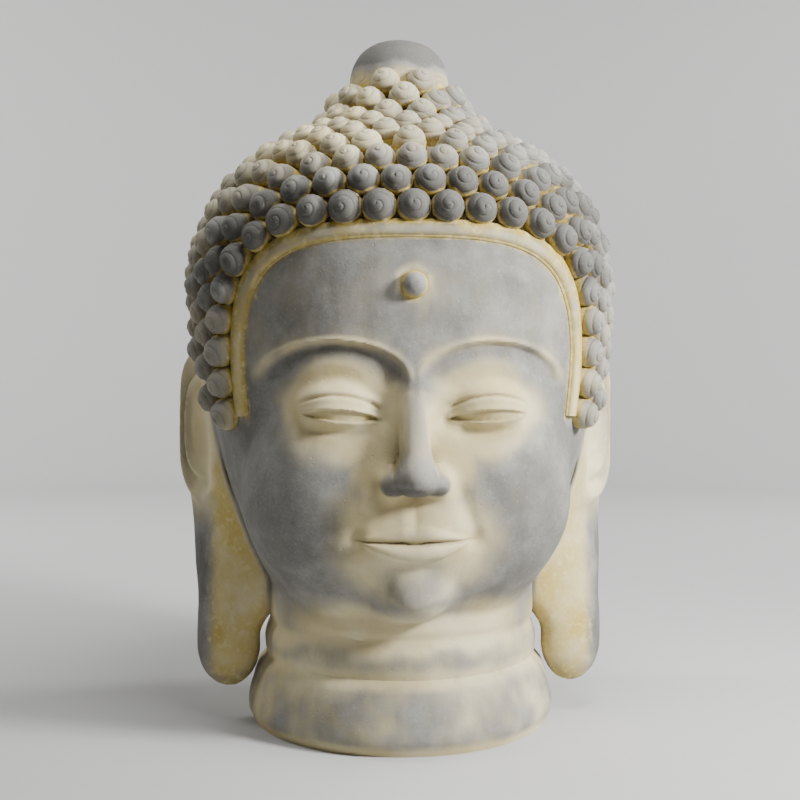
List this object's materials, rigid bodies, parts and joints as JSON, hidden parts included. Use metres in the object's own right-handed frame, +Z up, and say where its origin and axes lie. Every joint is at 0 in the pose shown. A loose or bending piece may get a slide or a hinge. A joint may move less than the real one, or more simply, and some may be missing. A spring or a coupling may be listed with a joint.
{
  "type": "stone buddha head",
  "caption": "Calm stone Buddha head cut flat below a ringed neck, with snail curls, a crown knob and long ear lobes.",
  "frame": {"origin": "centre of the flat underside of the neck, below the axis of the knob's front half", "axes": "+Z up from the neck to the knob, -Y the way the face looks, +X towards the head's own left ear"},
  "size_m": [0.5288, 0.5228, 0.8],
  "materials": {
    "patinated_stone": "matte"
  },
  "bodies": {
    "root": {"buddha_head": "patinated_stone"}
  },
  "joints": []
}
